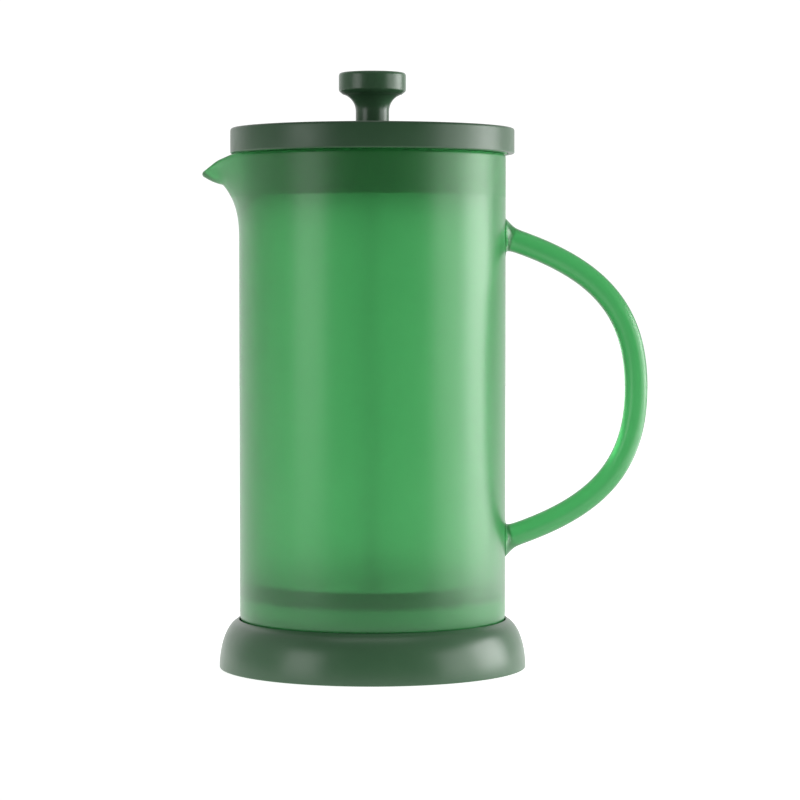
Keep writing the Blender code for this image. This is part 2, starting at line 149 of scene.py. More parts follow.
def make_floor_card():
    """A bright card that lies on the floor to the right and shines upwards."""
    card = make_panel("floor_card", CARD_WIDTH, CARD_DEPTH, CARD_PLACE, CARD_RADIANCE)
    card.rotation_euler = (pi, 0, 0)


ROOM_BACK = radians(-173)          # direction of the white wall, right of the camera positive
# Each shade of the room, after its place: -1 is the white wall and 1 is opposite it
ROOM_SHADES = ((-1.0, 1.08), (-0.70, 1.06), (-0.52, 0.50), (0.0, 0.42), (0.35, 0.16), (1.0, 0.08))


def make_world():
    """A room with a white back wall that darkens softly towards the camera's side."""
    world = bpy.data.worlds.new("studio")
    world.use_nodes = True
    tree = world.node_tree
    place = tree.nodes.new("ShaderNodeTexCoord").outputs["Generated"]
    towards = tree.nodes.new("ShaderNodeVectorMath")
    towards.operation = "DOT_PRODUCT"
    towards.inputs[1].default_value = (sin(ROOM_BACK), -cos(ROOM_BACK), 0)
    tree.links.new(place, towards.inputs[0])
    centred = tree.nodes.new("ShaderNodeMath")
    centred.operation = "MULTIPLY_ADD"
    centred.inputs[1].default_value = -0.5
    centred.inputs[2].default_value = 0.5
    tree.links.new(towards.outputs["Value"], centred.inputs[0])
    brightest = max(shade for _, shade in ROOM_SHADES)
    ramp = tree.nodes.new("ShaderNodeValToRGB")
    ramp.color_ramp.interpolation = "EASE"
    stops = ramp.color_ramp.elements
    while len(stops) < len(ROOM_SHADES):
        stops.new(0.5)
    for stop, (front, shade) in zip(stops, ROOM_SHADES):
        stop.position = 0.5 + 0.5 * front
        stop.color = (*(3 * [shade / brightest]), 1)
    tree.links.new(centred.outputs[0], ramp.inputs["Fac"])
    tree.links.new(ramp.outputs["Color"], tree.nodes["Background"].inputs["Color"])
    tree.nodes["Background"].inputs["Strength"].default_value = brightest
    bpy.context.scene.world = world


FLOOR_SIZE = 6.0
FLOOR_SHADE = 0.65
FLOOR_ROUGHNESS = 0.7
FLOOR_GLOW = 0.85
GLOW_FADE = (-0.40, -0.20)         # along Y, from no glow to the full glow


def make_floor():
    mesh = bpy.data.meshes.new("floor")
    shape = bmesh.new()
    bmesh.ops.create_grid(shape, x_segments=1, y_segments=1, size=FLOOR_SIZE / 2)
    shape.to_mesh(mesh)
    shape.free()
    floor = bpy.data.objects.new("floor", mesh)
    look = bpy.data.materials.new("floor")
    look.use_nodes = True
    shader = look.node_tree.nodes["Principled BSDF"]
    shader.inputs["Base Color"].default_value = (FLOOR_SHADE, FLOOR_SHADE, FLOOR_SHADE, 1)
    shader.inputs["Roughness"].default_value = FLOOR_ROUGHNESS
    light_floor(look.node_tree)
    mesh.materials.append(look)
    bpy.context.scene.collection.objects.link(floor)


def light_floor(tree):
    """A glow from under the floor, which fades out towards the camera."""
    place = tree.nodes.new("ShaderNodeTexCoord").outputs["Object"]
    split = tree.nodes.new("ShaderNodeSeparateXYZ")
    tree.links.new(place, split.inputs[0])
    fade = tree.nodes.new("ShaderNodeMapRange")
    fade.interpolation_type = "SMOOTHSTEP"
    fade.inputs["From Min"].default_value = GLOW_FADE[0]
    fade.inputs["From Max"].default_value = GLOW_FADE[1]
    fade.inputs["To Min"].default_value = 0.0
    fade.inputs["To Max"].default_value = FLOOR_GLOW
    tree.links.new(split.outputs["Y"], fade.inputs["Value"])
    glow = tree.nodes["Principled BSDF"].inputs
    glow["Emission Color"].default_value = (1, 1, 1, 1)
    tree.links.new(fade.outputs["Result"], glow["Emission Strength"])


def make_studio():
    make_world()
    make_floor()
    for softbox in SOFTBOXES:
        make_softbox(*softbox)
    make_floor_card()
    bpy.context.scene.view_settings.view_transform = "Standard"


make_camera()
make_studio()


# Shape helpers

def arc(centre_r, centre_z, radius, start, end, steps, height=None):
    """Points of an arc, or of an ellipse's arc if height is given; angles in degrees."""
    height = radius if height is None else height
    angles = [radians(start + (end - start) * i / steps) for i in range(steps + 1)]
    return [(centre_r + radius * cos(a), centre_z + height * sin(a)) for a in angles]


def rounded(corners, steps=5, closed=True):
    """An outline whose corners (radius, height, size) are rounded off by their size."""
    points = []
    count = len(corners)
    for number, (r, z, *size) in enumerate(corners):
        here = Vector((r, z))
        at_end = not closed and number in (0, count - 1)
        if not size or at_end:
            points.append((r, z))
            continue
        before = Vector(corners[number - 1][:2])
        after = Vector(corners[(number + 1) % count][:2])
        start = here + (before - here).normalized() * size[0]
        end = here + (after - here).normalized() * size[0]
        for step in range(steps + 1):
            t = step / steps
            spot = start * (1 - t) ** 2 + here * 2 * t * (1 - t) + end * t ** 2
            points.append(tuple(spot))
    return points


def mesh_from(name, shape, angle=SHARP):
    """An object from a bmesh, closed, facing outwards and smooth between sharp edges."""
    bmesh.ops.remove_doubles(shape, verts=shape.verts, dist=1e-7)
    bmesh.ops.recalc_face_normals(shape, faces=shape.faces)
    mesh = bpy.data.meshes.new(name)
    shape.to_mesh(mesh)
    shape.free()
    mesh.shade_smooth()
    mesh.set_sharp_from_angle(angle=radians(angle))
    made = bpy.data.objects.new(name, mesh)
    bpy.context.scene.collection.objects.link(made)
    return made


def swept(name, columns, closed_rows=True, angle=SHARP):
    """Join equal columns of points, side by side round the axis, into one closed surface."""
    shape = bmesh.new()
    made = [[shape.verts.new(p) for p in column] for column in columns]
    rows = len(columns[0])
    for number, here in enumerate(made):
        there = made[(number + 1) % len(made)]
        for row in range(rows if closed_rows else rows - 1):
            above = (row + 1) % rows
            shape.faces.new((here[row], there[row], there[above], here[above]))
    return mesh_from(name, shape, angle)


def turned(name, outline, steps=FINE, closed=True):
    """Turn an outline of (radius, height) points; an open one starts and ends on the axis."""
    columns = []
    for number in range(steps):
        turn = 2 * pi * number / steps
        columns.append([(r * cos(turn), r * sin(turn), z) for r, z in outline])
    return swept(name, columns, closed)


def apply_modifiers(item, angle):
    """Replace an object's mesh by what its modifiers make of it."""
    bpy.context.view_layer.update()
    seen = item.evaluated_get(bpy.context.evaluated_depsgraph_get())
    mesh = bpy.data.meshes.new_from_object(seen)
    item.modifiers.clear()
    item.data = mesh
    mesh.shade_smooth()
    mesh.set_sharp_from_angle(angle=radians(angle))


def combine(item, others, operation, angle=SHARP):
    """Cut or join the other objects with the first one, and remove them."""
    for other in others:
        step = item.modifiers.new(operation, "BOOLEAN")
        step.operation = operation
        step.solver = "EXACT"
        step.object = other
    apply_modifiers(item, angle)
    for other in others:
        bpy.data.objects.remove(other, do_unlink=True)


def bell(angle, half_width):
    """One at the middle, falling smoothly to nothing at the half width."""
    if abs(angle) >= half_width:
        return 0.0
    return 0.5 + 0.5 * cos(pi * angle / half_width)


def bezier(points, t):
    """A point of the curve that four points give, for t from 0 to 1."""
    start, first, second, end = [Vector(p) for p in points]
    left = 1 - t
    return (left ** 3 * start + 3 * left ** 2 * t * first
            + 3 * left * t ** 2 * second + t ** 3 * end)


def from_spout(x, y):
    """Angle about the axis, counted from the spout."""
    return Vector((-1, 0)).angle_signed(Vector((x, y)), 0.0)


# Materials

class Look:
    """A Principled material with a few short calls for the nodes that feed it."""

    def __init__(self, name, **values):
        self.material = bpy.data.materials.new(name)
        self.material.use_nodes = True
        self.tree = self.material.node_tree
        self.shader = self.tree.nodes["Principled BSDF"]
        self.place = self.node("ShaderNodeTexCoord").outputs["Object"]
        for key, value in values.items():
            self.shader.inputs[key.replace("_", " ")].default_value = value

    def node(self, kind, **settings):
        made = self.tree.nodes.new(kind)
        for key, value in settings.items():
            setattr(made, key, value)
        return made

    def link(self, source, target):
        self.tree.links.new(source, target)

    def feed(self, target, value):
        """Link an output to an input, or set the input to a plain value."""
        if isinstance(value, bpy.types.NodeSocket):
            self.link(value, target)
        else:
            target.default_value = value

    def math(self, operation, first, second=0.0, third=0.0):
        made = self.node("ShaderNodeMath", operation=operation)
        for target, value in zip(made.inputs, (first, second, third)):
            self.feed(target, value)
        return made.outputs[0]

    def noise(self, scale, detail=2.0, place=None):
        made = self.node("ShaderNodeTexNoise")
        made.inputs["Scale"].default_value = scale
        made.inputs["Detail"].default_value = detail
        self.link(place or self.place, made.inputs["Vector"])
        return made.outputs["Fac"]

    def stretch(self, value, low, high):
        """Map a value near a half, as noise gives, onto the range from low to high."""
        made = self.node("ShaderNodeMapRange")
        made.inputs["From Min"].default_value = 0.3
        made.inputs["From Max"].default_value = 0.7
        made.inputs["To Min"].default_value = low
        made.inputs["To Max"].default_value = high
        self.link(value, made.inputs["Value"])
        return made.outputs["Result"]

    def ramp(self, value, start, end, low, high):
        """Go smoothly from low to high while the value goes from start to end."""
        made = self.node("ShaderNodeMapRange", interpolation_type="SMOOTHSTEP")
        made.inputs["From Min"].default_value = start
        made.inputs["From Max"].default_value = end
        made.inputs["To Min"].default_value = low
        made.inputs["To Max"].default_value = high
        self.link(value, made.inputs["Value"])
        return made.outputs["Result"]

    def colours(self, value, first, second):
        """Vary the base colour between two colours."""
        made = self.node("ShaderNodeMix", data_type="RGBA")
        self.link(value, made.inputs["Factor"])
        made.inputs["A"].default_value = (*first, 1)
        made.inputs["B"].default_value = (*second, 1)
        mixed = [socket for socket in made.outputs if socket.type == "RGBA"][0]
        self.link(mixed, self.shader.inputs["Base Color"])

    def roughness(self, value):
        self.link(value, self.shader.inputs["Roughness"])

    def bump(self, height, depth):
        made = self.node("ShaderNodeBump")
        made.inputs["Distance"].default_value = depth
        made.inputs["Strength"].default_value = 1.0
        self.link(height, made.inputs["Height"])
        self.link(made.outputs["Normal"], self.shader.inputs["Normal"])

    def polar(self):
        """Distance from the axis and height, as a vector for rings that turning leaves."""
        split = self.node("ShaderNodeSeparateXYZ")
        self.link(self.place, split.inputs[0])
        square = self.math("MULTIPLY", split.outputs[0], split.outputs[0])
        both = self.math("MULTIPLY_ADD", split.outputs[1], split.outputs[1], square)
        join = self.node("ShaderNodeCombineXYZ")
        self.link(self.math("SQRT", both), join.inputs[0])
        self.link(split.outputs[2], join.inputs[1])
        return join.outputs[0]


COAT_CLEARNESS = 0.80              # share of the light that the coat lets into the glass
FOOT_CLEARNESS = 0.60              # the same below the filter, lower so that more of the coat's lit green shows: a painted glow standing in for light gathered in the glass's foot
FOOT_FADE = 2.5 * MM
RIM_ETCH = 0.08                    # how much rougher the coat is in the band over the sleeve
RIM_FADE = 0.4 * MM


def frosted_glass():
    """The etched green coat on the outside of the glass; in a band at its foot it lets less light
    through, a painted glow for the light that gathers in the thick foot.
    """
    look = Look("frosted_glass", IOR=1.47)
    cloud = look.noise(55, 3)
    look.colours(look.stretch(cloud, 0, 1), (0.062, 0.400, 0.112), (0.067, 0.415, 0.118))
    look.bump(look.noise(2600, 2), 0.0004 * MM)
    split = look.node("ShaderNodeSeparateXYZ")
    look.link(look.place, split.inputs[0])
    height = split.outputs[2]
    # Painted glow: less clearness below the filter, so the lit coat brightens the foot band
    clearness = look.ramp(height, FILTER_BOTTOM - FOOT_FADE, FILTER_BOTTOM,
                          FOOT_CLEARNESS, COAT_CLEARNESS)
    look.link(clearness, look.shader.inputs["Transmission Weight"])
    rim = look.ramp(height, SLEEVE_BOTTOM - RIM_FADE, SLEEVE_BOTTOM + RIM_FADE, 0.0, RIM_ETCH)
    look.roughness(look.math("ADD", look.stretch(look.noise(900, 3), 0.28, 0.32), rim))
    return look.material


def clear_glass():
    """The finely ground inner faces of the glass, with faint waves from its blowing."""
    look = Look("clear_glass", Transmission_Weight=1.0, IOR=1.47)
    look.colours(look.stretch(look.noise(30, 2), 0, 1), (0.97, 1.0, 0.98), (1.0, 1.0, 1.0))
    look.roughness(look.stretch(look.noise(300, 2), 0.40, 0.46))
    look.bump(look.noise(60, 2), 0.02 * MM)
    return look.material


def moulded_plastic(name, ior, dark, light, smooth, rough):
    """Plastic with the faint mottle and grain of its mould."""
    look = Look(name, IOR=ior)
    look.colours(look.stretch(look.noise(70, 4), 0, 1), dark, light)
    look.roughness(look.stretch(look.noise(250, 2), smooth, rough))
    look.bump(look.noise(350, 1), 0.0012 * MM)
    return look.material


def silicone():
    """Matt rubber with a fine grain."""
    look = Look("silicone", IOR=1.42)
    dark, light = (0.022, 0.056, 0.027), (0.030, 0.070, 0.034)
    look.colours(look.stretch(look.noise(90, 4), 0, 1), dark, light)
    look.roughness(look.stretch(look.noise(2200, 3), 0.62, 0.78))
    look.bump(look.noise(6500, 2), 0.01 * MM)
    return look.material


def spun_metal(name, dark, light, smooth, rough):
    """Turned or spun metal, with the fine rings that the tool leaves."""
    look = Look(name, Metallic=1.0)
    rings = look.noise(9000, 2, look.polar())
    look.colours(look.stretch(look.noise(160, 4), 0, 1), dark, light)
    look.roughness(look.stretch(rings, smooth, rough))
    look.bump(rings, 0.004 * MM)
    return look.material


WIRE_PITCH = 0.42 * MM


def woven_steel():
    """Wire cloth: wires that pass over and under each other, with painted shade in the holes between
    and the wires painted far darker than steel, a painted reflection of the dark room.
    """
    look = Look("woven_steel", Metallic=1.0)
    split = look.node("ShaderNodeSeparateXYZ")
    look.link(look.place, split.inputs[0])
    waves = []
    for axis in (0, 1):
        turn = look.math("MULTIPLY", split.outputs[axis], pi / WIRE_PITCH)
        waves.append(look.math("ABSOLUTE", look.math("SINE", turn)))
    height = look.math("MAXIMUM", waves[0], waves[1])
    # Painted shade: near-black holes, and wires much darker than the steel, standing in for the dark
    # surroundings they reflect
    hole, wire = (0.015, 0.015, 0.015), (0.14, 0.14, 0.135)
    look.colours(look.math("SMOOTH_MIN", height, 1.0, 0.2), hole, wire)
    look.roughness(look.stretch(look.noise(1500, 2), 0.34, 0.46))
    look.bump(height, 0.05 * MM)
    return look.material


GLASS = frosted_glass()
CLEAR = clear_glass()
PLASTIC = moulded_plastic("moulded_plastic", 1.50,
                          (0.041, 0.108, 0.051), (0.046, 0.117, 0.056), 0.285, 0.32)
# Painted shade: the lid's plastic is a darker copy of the base's, though both are one plastic, for the
# less light that the lid's upright side takes
SHADED_LID_PLASTIC = moulded_plastic("lid_plastic_painted_shade", 1.44,
                              (0.026, 0.072, 0.033), (0.030, 0.081, 0.037), 0.33, 0.38)
SLEEVE_PLASTIC = moulded_plastic("sleeve_plastic", 1.44,
                                 (0.036, 0.20, 0.060), (0.042, 0.22, 0.066), 0.40, 0.46)
SILICONE = silicone()
STEEL = spun_metal("stainless_steel", (0.50, 0.50, 0.49), (0.62, 0.62, 0.61), 0.20, 0.34)
BRASS = spun_metal("brass", (0.66, 0.48, 0.20), (0.76, 0.57, 0.27), 0.24, 0.38)
CLOTH = woven_steel()


def piece(item, body, look, slot, *nodes):
    """Dress a finished piece, put it on its body and let it stand for its CAD nodes."""
    item.data.materials.clear()
    item.data.materials.append(look)
    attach(item, body)
    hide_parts(*nodes)


# Carafe: glass body and handle, fused

LIP_STEPS = 36
RIM_ROUND = 12
DROP_HALF_ANGLE = radians(20)
CHANNEL_START = 0.74               # part of the way up the lip at which the channel begins
TIP_BLUNTNESS = radians(2.5)
FOOT_DISH = 0.8 * MM               # how far the middle of the glass's foot stands clear
DISH_RISE = 0.2 * MM
DISH_RADIUS = 30.0 * MM


def spout_plan(angle):
    """How far the lip is pulled out: two straight sides that run from the tip to the round wall."""
    away = sqrt(angle ** 2 + TIP_BLUNTNESS ** 2) - TIP_BLUNTNESS
    if away >= SPOUT_HALF_ANGLE:
        return 0.0
    return (1 / cos(SPOUT_HALF_ANGLE - away) - 1) / (1 / cos(SPOUT_HALF_ANGLE) - 1)


def wall_outline(angle):
    """The outer wall above the spout's foot, at an angle from the spout."""
    end_height = RIM_HEIGHT - GLASS_WALL / 2
    pulled = [(GLASS_RADIUS, SPOUT_FOOT), *SPOUT_BENDS, SPOUT_TIP]
    soft, sharp = bell(angle, SPOUT_HALF_ANGLE), spout_plan(angle)
    drop = bell(angle, DROP_HALF_ANGLE)
    channel = bell(angle, CHANNEL_HALF_ANGLE)
    points = []
    for step in range(LIP_STEPS + 1):
        t = step / LIP_STEPS
        straight = Vector((GLASS_RADIUS, SPOUT_FOOT + (end_height - SPOUT_FOOT) * t))
        bent = bezier(pulled, t)
        reach = soft + (sharp - soft) * t ** 2
        point = Vector((
            straight.x + (bent.x - straight.x) * reach,
            straight.y + (bent.y - straight.y) * drop,
        ))
        way = max(0.0, (t - CHANNEL_START) / (1 - CHANNEL_START))
        point.x += CHANNEL_SHIFT[0] * channel * way ** 2
        point.y += CHANNEL_SHIFT[1] * channel * sin(pi / 2 * way)
        points.append(point)
    return points


def side_normals(points):
    """Unit vectors across a line of points, towards the inside of the carafe."""
    last = len(points) - 1
    along = [(points[min(i + 1, last)] - points[max(i - 1, 0)]).normalized()
             for i in range(last + 1)]
    return [Vector((-a.y, a.x)) for a in along]


def glass_section(angle):
    """Points (radius, height) from under the floor, over the rim, to the floor's top."""
    outer = wall_outline(angle)
    normals = side_normals(outer)
    inner = [p + n * GLASS_WALL for p, n in zip(outer, normals)]
    inner[0] = Vector((BORE_RADIUS, SPOUT_FOOT))
    middle = (outer[-1] + inner[-1]) / 2
    spoke = outer[-1] - middle
    rim = [middle + Matrix.Rotation(pi * step / RIM_ROUND, 2) @ spoke
           for step in range(1, RIM_ROUND)]
    wall = outer + rim + inner[::-1]
    excess = max(p.y for p in wall) - RIM_HEIGHT
    if excess > 0:
        for point in wall:
            point.y -= excess * (point.y - SPOUT_FOOT) / (RIM_HEIGHT - SPOUT_FOOT)

    corner = GLASS_CORNER
    foot = [(DISH_RADIUS * part, GLASS_FOOT + FOOT_DISH - DISH_RISE * part ** 2)
            for part in (0, 0.5, 1)]
    foot += arc(GLASS_RADIUS - corner, GLASS_FOOT + corner, corner, -90, 0, 16)
    inside = corner - GLASS_WALL
    floor = GLASS_FOOT + GLASS_FLOOR
    ground = arc(BORE_RADIUS - inside, floor + inside, inside, 0, -90, 14)
    ground += [(20 * MM, floor), (0, floor)]
    straight = SPOUT_FOOT - GLASS_FOOT - corner
    side = [GLASS_FOOT + corner + straight * i / 12 for i in range(1, 12)]
    outside = [(GLASS_RADIUS, z) for z in side]
    bore = [(BORE_RADIUS, z) for z in side[::-1]]
    return foot + outside + [tuple(p) for p in wall] + bore + ground


HANDLE_LEAN = radians(17.7)        # fall of the handle where it leaves the glass
ROOT_PULL = 35.1 * MM              # how long the curve keeps to that direction
SIDE_PULL = 30.9 * MM              # how long it keeps upright, from its middle
ROD_BURIED = 1.2 * MM
ROD_STEPS = 60
ROD_SIDES = 40


def handle_rings():
    """Centre, radius and direction of each ring, from the upper root to the lower one."""
    root = Vector((GLASS_RADIUS, HANDLE_ROOT))
    first = root + ROOT_PULL * Vector((cos(HANDLE_LEAN), -sin(HANDLE_LEAN)))
    half = [root, first, Vector((HANDLE_REACH, SIDE_PULL)), Vector((HANDLE_REACH, 0))]
    closer = 1.6                   # power that gathers the rings at the root
    points = [bezier(half, (step / ROD_STEPS) ** closer) for step in range(ROD_STEPS + 1)]
    upper = [(root.x - ROD_BURIED, root.y, HANDLE_RADIUS + HANDLE_WELD, Vector((1, 0)))]
    for number, point in enumerate(points):
        near = exp(-(point.x - GLASS_RADIUS) / WELD_LENGTH)
        ahead = points[min(number + 1, ROD_STEPS)] - points[max(number - 1, 0)]
        along = ahead.normalized().lerp(Vector((1, 0)), near)
        upper.append((point.x, point.y, HANDLE_RADIUS + HANDLE_WELD * near, along))
    upper[-1][3].x = 0
    lower = [(x, -z, radius, Vector((-along.x, along.y))) for x, z, radius, along in upper[-2::-1]]
    return [(Vector((x, 0, HANDLE_MIDDLE + z)), radius, Vector((along.x, 0, along.y)).normalized())
            for x, z, radius, along in upper + lower]


def make_handle_rod():
    shape = bmesh.new()
    across = Vector((0, 1, 0))
    rings = []
    for centre, radius, along in handle_rings():
        up = along.cross(across)
        ring = []
        for side in range(ROD_SIDES):
            turn = 2 * pi * side / ROD_SIDES
            ring.append(shape.verts.new(centre + radius * (cos(turn) * across + sin(turn) * up)))
        rings.append(ring)
    for first, second in zip(rings, rings[1:]):
        for side in range(ROD_SIDES):
            beside = (side + 1) % ROD_SIDES
            shape.faces.new((first[side], first[beside], second[beside], second[side]))
    shape.faces.new(rings[0])
    shape.faces.new(rings[-1])
    return mesh_from("handle_rod", shape)


def carafe_angles():
    """Angles of the sections, closer together at the spout."""
    coarse, fine = radians(2), radians(0.5)
    half = round(SPOUT_HALF_ANGLE / coarse) * coarse
    angles = [-half + fine * i for i in range(round(2 * half / fine))]
    return angles + [half + coarse * i for i in range(round((2 * pi - 2 * half) / coarse))]


def is_inner(face):
    """Whether a face of the glass is one that the coffee touches: a wall's, or the floor's."""
    centre, normal = face.center, face.normal
    inwards = normal.xy.dot(-centre.xy.normalized())
    on_floor = normal.z > 0.5 and centre.z < GLASS_FOOT + GLASS_CORNER
    return centre.x < GLASS_RADIUS and (inwards > 0.2 or on_floor)


def make_carafe():
    """The coloured, etched coat is on the outer faces, and the inner ones are clear."""
    columns = []
    for angle in carafe_angles():
        turn = pi + angle
        section = glass_section(angle)
        columns.append([(r * cos(turn), r * sin(turn), z) for r, z in section])
    body = swept("glass_carafe", columns, closed_rows=False)
    combine(body, [make_handle_rod()], "UNION", angle=50)
    piece(body, "carafe", GLASS, "green_glass", "carafe_body", "carafe_handle")
    body.data.materials.append(CLEAR)
    for face in body.data.polygons:
        face.material_index = 1 if is_inner(face) else 0


# Base

CUP_RADIUS = GLASS_RADIUS + GAP
CUP_FLOOR = 6.0 * MM
FLARE_CENTRE = 49.5 * MM           # distance from the axis to the flare's ellipse
FLARE_HEIGHT = 18.3 * MM
CUP_CORNER = 4.0 * MM
CUP_LIP = GLASS_RADIUS + 0.1 * MM  # the cup's mouth hugs the glass
LIP_ROUND = 0.45 * MM
GROOVE_COUNT = 4
RING_COUNT = 8


def groove(middle, wide, narrow, level, depth):
    """Four points of a groove with sloping sides, seen in an outline."""
    return [(middle - wide, level), (middle - narrow, level - depth),
            (middle + narrow, level - depth), (middle + wide, level)]


def make_base():
    """The flared cup, the cushion that the glass stands on, and the pad underneath."""
    flare = arc(FLARE_CENTRE, 0, BASE_RADIUS - FLARE_CENTRE, 77, 4, 40, height=FLARE_HEIGHT)
    inside = arc(CUP_RADIUS - CUP_CORNER, CUP_FLOOR + CUP_CORNER, CUP_CORNER, -90, 0, 12)
    rim = [(CUP_RADIUS, BASE_HEIGHT - 2 * MM), (CUP_LIP, BASE_HEIGHT - 0.8 * MM),
           *arc(CUP_LIP + LIP_ROUND, BASE_HEIGHT - LIP_ROUND, LIP_ROUND, 180, 75, 7)]
    foot = rounded([
        flare[-1],
        (BASE_RADIUS, BASE_EDGE, 0.4 * MM),
        (PAD_RADIUS + GAP, BASE_EDGE, 0.25 * MM),
        (PAD_RADIUS + GAP, PAD_TOP + GAP, 0.25 * MM),
        (0, PAD_TOP + GAP),
    ], closed=False)
    outline = [(0, CUP_FLOOR), *inside, *rim, *flare[:-1], *foot]
    shell = turned("base_cup", outline, closed=False)
    piece(shell, "base", PLASTIC, "green_plastic", "base_shell")

    low, high = BOX["base_cushion"][0].z, BOX["base_cushion"][1].z
    edge = BOX["base_cushion"][1].y
    top = [(0, high)]
    for number in range(GROOVE_COUNT):
        middle = edge * (0.3 + 0.18 * number)
        top += groove(middle, 1.2 * MM, 0.5 * MM, high, 0.6 * MM)
    outline = top + rounded([
        (edge - 2 * MM, high), (edge, high, 0.6 * MM), (edge, low, 0.4 * MM), (0, low),
    ], closed=False)
    cushion = turned("base_cushion_pad", outline, closed=False)
    piece(cushion, "base", SILICONE, "green_silicone", "base_cushion")

    underside = []
    for number in range(RING_COUNT, 0, -1):
        middle = PAD_RADIUS * number / (RING_COUNT + 1)
        underside += groove(middle, 1.4 * MM, 0.9 * MM, 0, -0.45 * MM)[::-1]
    outline = rounded([
        (0, PAD_TOP), (PAD_RADIUS, PAD_TOP, 0.25 * MM), (PAD_RADIUS, 0, 0.4 * MM),
        (PAD_RADIUS - 1.5 * MM, 0),
    ], closed=False) + underside + [(0, 0)]
    pad = turned("non_slip_pad", outline, closed=False)
    piece(pad, "base", SILICONE, "green_silicone", "base_foot_pad")


# Lid

LID_PLATE = 2.5 * MM
LID_SKIRT = 2.3 * MM
SLOT_WIDTH = 1.8 * MM
SLOT_TOP = 190.0 * MM
SLOT_BOTTOM = 174.5 * MM
SLOT_PITCH = radians(5.5)
SLOT_COUNT = 7
CUTTER_REACH = 4.0 * MM
CUTTER_STEPS = 8


def make_slot(number):
    """A pouring slot's cutter, a flat bar with round ends."""
    half = SLOT_WIDTH / 2
    middle = 1 * MM - SLEEVE_RADIUS
    ends = [(SLOT_TOP - half, 0), (SLOT_BOTTOM + half, pi)]
    shape = bmesh.new()
    faces = []
    for depth in (middle - CUTTER_REACH, middle + CUTTER_REACH):
        ring = []
        for height, start in ends:
            for step in range(CUTTER_STEPS + 1):
                turn = start + pi * step / CUTTER_STEPS
                place = (depth, half * cos(turn), height + half * sin(turn))
                ring.append(shape.verts.new(place))
        faces.append(ring)
        shape.faces.new(ring)
    for step, corner in enumerate(faces[0]):
        beside = (step + 1) % len(faces[0])
        shape.faces.new((corner, faces[0][beside], faces[1][beside], faces[1][step]))
    turn = Matrix.Rotation((number - (SLOT_COUNT - 1) / 2) * SLOT_PITCH, 4, "Z")
    bmesh.ops.transform(shape, matrix=turn, verts=shape.verts)
    return mesh_from(f"slot_{number}", shape)


def make_lid():
    """The cap, and the slotted sleeve that hangs from it inside the glass."""
    hole = GUIDE_RADIUS + GAP
    under = LID_TOP - LID_PLATE
    cap = turned("lid_cover", rounded([
        (hole, LID_TOP, 0.3 * MM),
        (LID_RADIUS, LID_TOP, 1.1 * MM),
        (LID_RADIUS, LID_BOTTOM, 0.6 * MM),
        (LID_RADIUS - LID_SKIRT, LID_BOTTOM, 0.3 * MM),
        (LID_RADIUS - LID_SKIRT, under, 0.6 * MM),
        (hole, under, 0.2 * MM),
    ]))
    piece(cap, "lid", SHADED_LID_PLASTIC, "green_plastic", "lid_cap")

    boss = 8.0 * MM
    plate_top = LID_BOTTOM + 2.2 * MM
    inner = SLEEVE_RADIUS - SLEEVE_WALL
    wide = LID_RADIUS - LID_SKIRT - GAP
    outline = rounded([
        (hole, under - GAP, 0.2 * MM),
        (boss, under - GAP, 0.3 * MM),
        (boss, plate_top, 0.5 * MM),
        (wide, plate_top, 0.3 * MM),
        (wide, LID_BOTTOM, 0.3 * MM),
        (SLEEVE_RADIUS, LID_BOTTOM, 0.2 * MM),
        (SLEEVE_RADIUS, SLEEVE_BOTTOM, 0.6 * MM),
        (inner, SLEEVE_BOTTOM, 0.6 * MM),
        (inner, LID_BOTTOM, 1.0 * MM),
        (hole, LID_BOTTOM, 0.3 * MM),
    ])
    sleeve = turned("lid_strainer_sleeve", outline)
    for vertex in sleeve.data.vertices:
        if vertex.co.z < SLEEVE_BOTTOM + 1 * MM:
            angle = from_spout(vertex.co.x, vertex.co.y)
            vertex.co.z -= GUARD_DIP * bell(angle, SPOUT_HALF_ANGLE)
    combine(sleeve, [make_slot(number) for number in range(SLOT_COUNT)], "DIFFERENCE")
    piece(sleeve, "lid", SLEEVE_PLASTIC, "green_plastic", "lid_sleeve")


def make_guide():
    """The bush in the lid's middle that the rod slides in."""
    low, high = BOX["rod_guide"][0].z, BOX["rod_guide"][1].z
    wide = BOX["rod_guide"][1].x
    bore = ROD_RADIUS + 0.15 * MM
    seat = LID_TOP + GAP
    guide = turned("guide_bush", rounded([
        (bore, high, 0.1 * MM), (wide, high, 0.2 * MM), (wide, seat, 0.1 * MM),
        (GUIDE_RADIUS, seat, 0.1 * MM), (GUIDE_RADIUS, low, 0.5 * MM), (bore, low, 0.2 * MM),
    ]), steps=MEDIUM)
    piece(guide, "guide", STEEL, "steel", "rod_guide")


# Plunger

INSERT_RADIUS = 3.3 * MM
INSERT_TOP = 215.7 * MM
MESH_THICKNESS = 0.5 * MM
MESH_TOP = FILTER_BOTTOM + MESH_THICKNESS
COIL_RADIUS = 2.1 * MM
COIL_CENTRE = MESH_TOP + 1 * MM + COIL_RADIUS
COIL_RING = FILTER_RADIUS - MESH_THICKNESS - GAP - COIL_RADIUS
COIL_WIRE = 0.32 * MM
COIL_TURNS = 132
PLATE = 0.8 * MM                   # thickness of the dished plate
CROSS_TOP = FILTER_BOTTOM - 0.4 * MM


